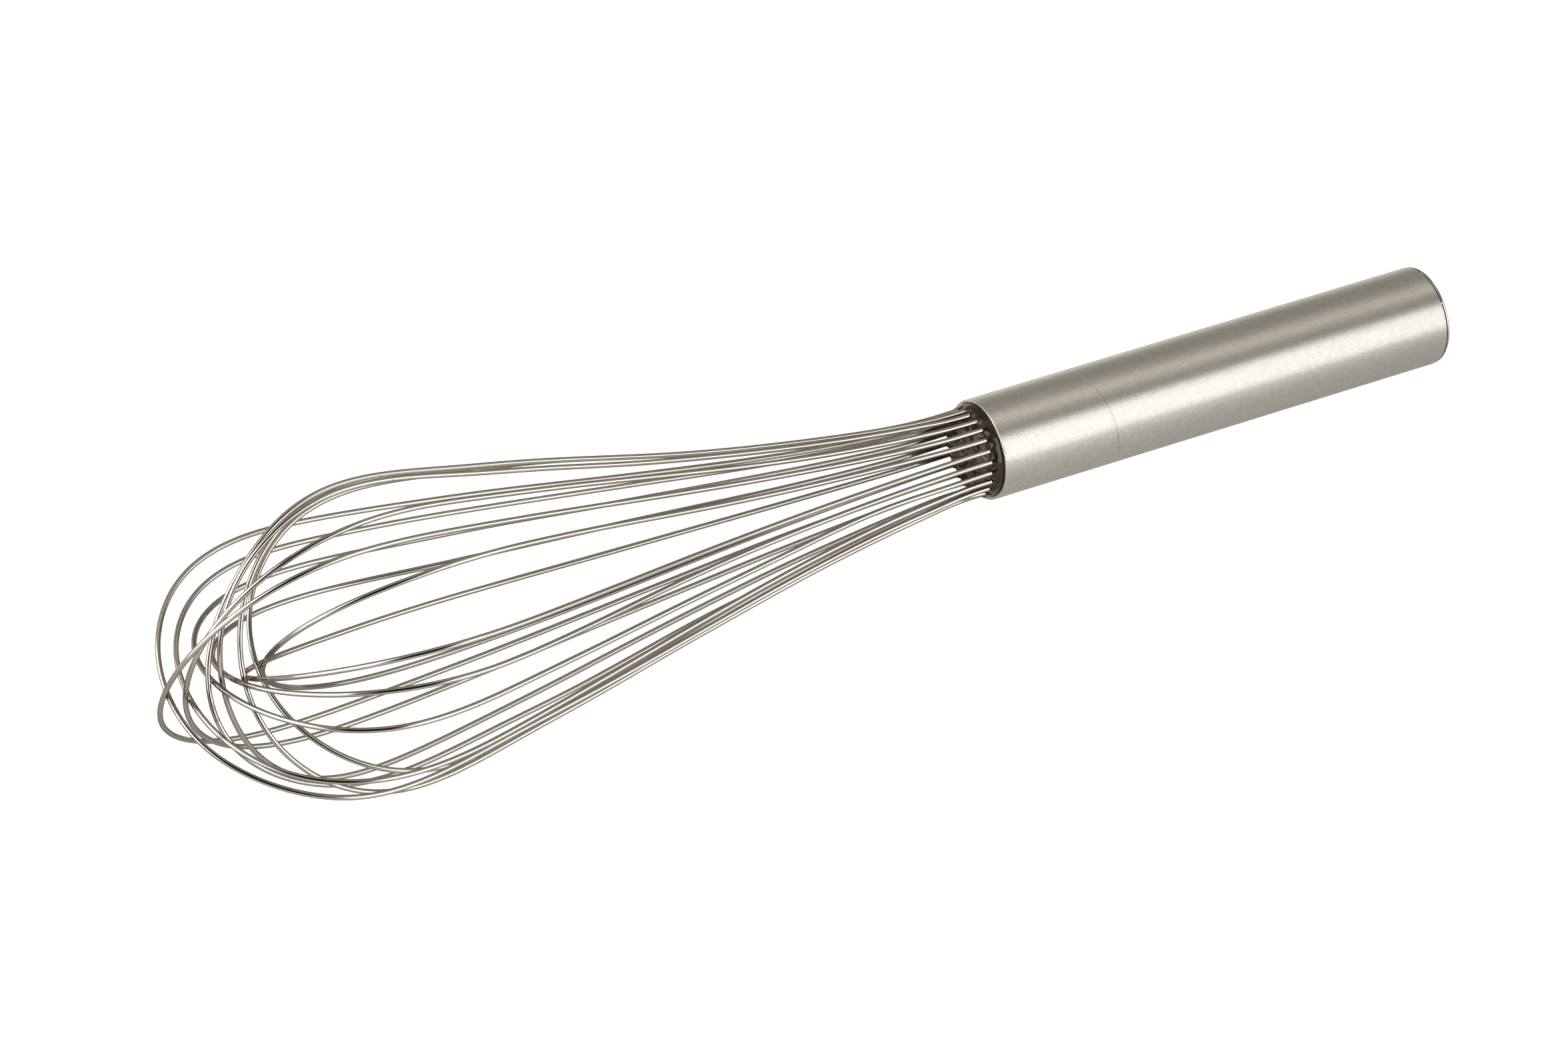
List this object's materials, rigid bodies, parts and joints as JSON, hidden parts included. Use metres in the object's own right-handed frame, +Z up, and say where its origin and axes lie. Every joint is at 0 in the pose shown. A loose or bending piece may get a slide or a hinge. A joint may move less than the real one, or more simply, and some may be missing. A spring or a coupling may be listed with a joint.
{
  "type": "balloon whisk",
  "caption": "Hand balloon whisk with a plain round steel tube handle, nested wire loops set in a dark resin plug at the mouth, and a pressed end cap.",
  "frame": {"origin": "centre of the whole whisk's footprint, on the surface it lies on", "axes": "+Z up, +X from the capped end of the handle to the balloon; the handle axis lies in the XZ plane's direction and rises 3.79 degrees towards the balloon, because the handle end and the two lowest wires touch the surface"},
  "size_m": [0.3731, 0.0754, 0.0763],
  "materials": {
    "tube_steel": "fine circumferential brushing, satin",
    "cap_steel": "satin with a bright rim",
    "wire_steel": "polished drawn wire",
    "potting_resin": "glossy dark brown cast resin",
    "stop_plastic": "matt, hidden"
  },
  "bodies": {
    "root": {"handle_tube": "tube_steel", "end_cap": "cap_steel", "resin_plug": "potting_resin", "resin_stop": "stop_plastic", "wire_loop_01": "wire_steel", "wire_loop_02": "wire_steel", "wire_loop_03": "wire_steel", "wire_loop_04": "wire_steel", "wire_loop_05": "wire_steel", "wire_loop_06": "wire_steel", "wire_loop_07": "wire_steel", "wire_loop_08": "wire_steel", "wire_loop_09": "wire_steel", "wire_loop_10": "wire_steel", "wire_loop_11": "wire_steel", "wire_loop_12": "wire_steel"}
  },
  "joints": []
}
